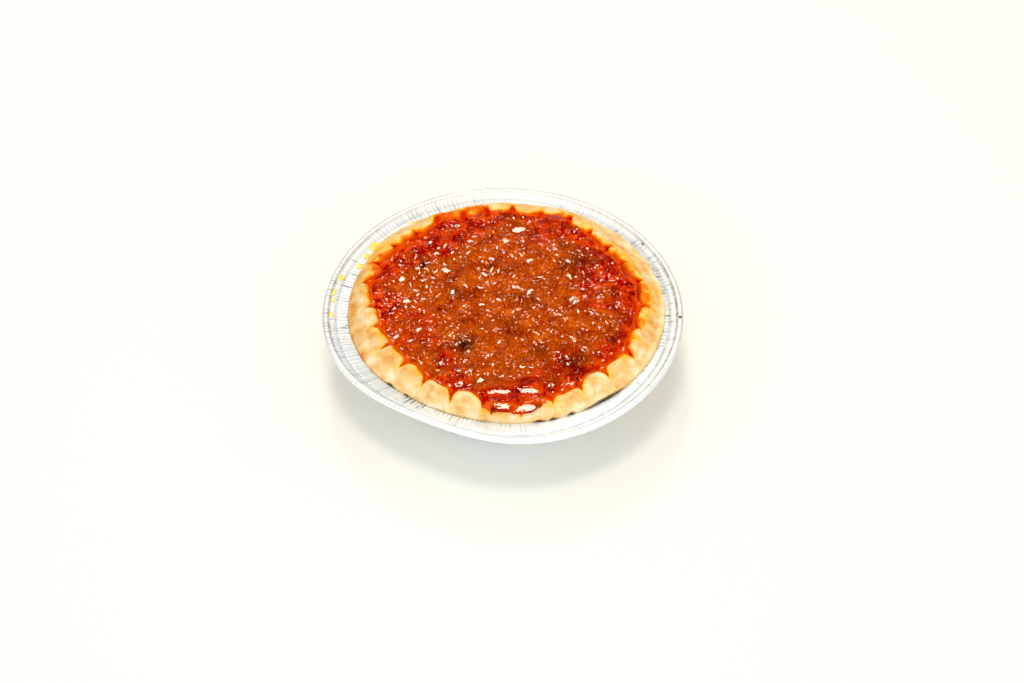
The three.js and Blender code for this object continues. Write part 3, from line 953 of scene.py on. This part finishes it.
world = bpy.data.worlds.new("white_room")
bpy.context.scene.world = world
world.use_nodes = True
nodes = world.node_tree.nodes
links = world.node_tree.links
way = add(nodes, "TexCoord")
split = add(nodes, "SeparateXYZ")
far_wall = ramp_between(nodes, [(0.0, (0.30, 0.30, 0.28)), (0.18, (0.35, 0.35, 0.33)),
                                (0.40, (0.8, 0.79, 0.76)), (1.0, (1.0, 0.98, 0.94))])
near_share = add(nodes, "MapRange", interpolation_type="SMOOTHSTEP", From_Min=-0.1, From_Max=-0.6)
room = add(nodes, "Mix", data_type="RGBA")
room.inputs["B"].default_value = (1.35, 1.33, 1.27, 1)
wire(links,
     (way, "Generated", split, "Vector"),
     (split, "Z", far_wall, "Fac"),
     (split, "Y", near_share, "Value"),
     (near_share, "Result", room, "Factor"),
     (far_wall, "Color", room, "A"),
     (room, "Result", nodes["Background"], "Color"))


def softbox(name, spot, aim, side, power):
    """A square lamp at a spot, turned to its aim."""
    data = bpy.data.lights.new(name, "AREA")
    data.shape = "SQUARE"
    data.size = side
    data.energy = power
    data.color = lamp_colour
    lamp = bpy.data.objects.new(name, data)
    lamp.location = spot
    lamp.rotation_euler = (Vector(aim) - Vector(spot)).to_track_quat("-Z", "Y").to_euler()
    bpy.context.scene.collection.objects.link(lamp)


softbox("key", (-0.02, -0.14, 0.71), (0, 0, 0.02), 0.13, 1.2)
softbox("window", (-0.05, 0.35, 0.60), (0, 0, 0.02), 0.10, 0.6)

# Camera: at the photograph's view, looking down on the tart from the front.
view_down = math.radians(45.5)
view_distance = 0.450
view_lens = 67.8
view_aim = Vector((0, 0, 0.0187))
aim_pixel = (503.0, 309.2)
picture = (1024, 683)

camera_data = bpy.data.cameras.new("camera")
camera_data.sensor_width = 36.0
camera_data.lens = view_lens
camera_data.clip_start = 0.01
camera = bpy.data.objects.new("camera", camera_data)
sight = Vector((0, math.cos(view_down), -math.sin(view_down)))
upward = Vector((0, math.sin(view_down), math.cos(view_down)))
per_pixel = view_distance * camera_data.sensor_width / view_lens / picture[0]
centre = view_aim + Vector((1, 0, 0)) * per_pixel * (picture[0] / 2 - aim_pixel[0])
centre -= upward * per_pixel * (picture[1] / 2 - aim_pixel[1])
camera.location = view_aim - sight * view_distance
camera.rotation_euler = (centre - camera.location).to_track_quat("-Z", "Y").to_euler()
bpy.context.scene.collection.objects.link(camera)
bpy.context.scene.camera = camera

# Plain tones, with the blacks set a little deeper, as the photograph has them.
view = bpy.context.scene.view_settings
view.view_transform = "Standard"
view.use_curve_mapping = True
view.curve_mapping.black_level = (0.05, 0.05, 0.05)
view.curve_mapping.update()
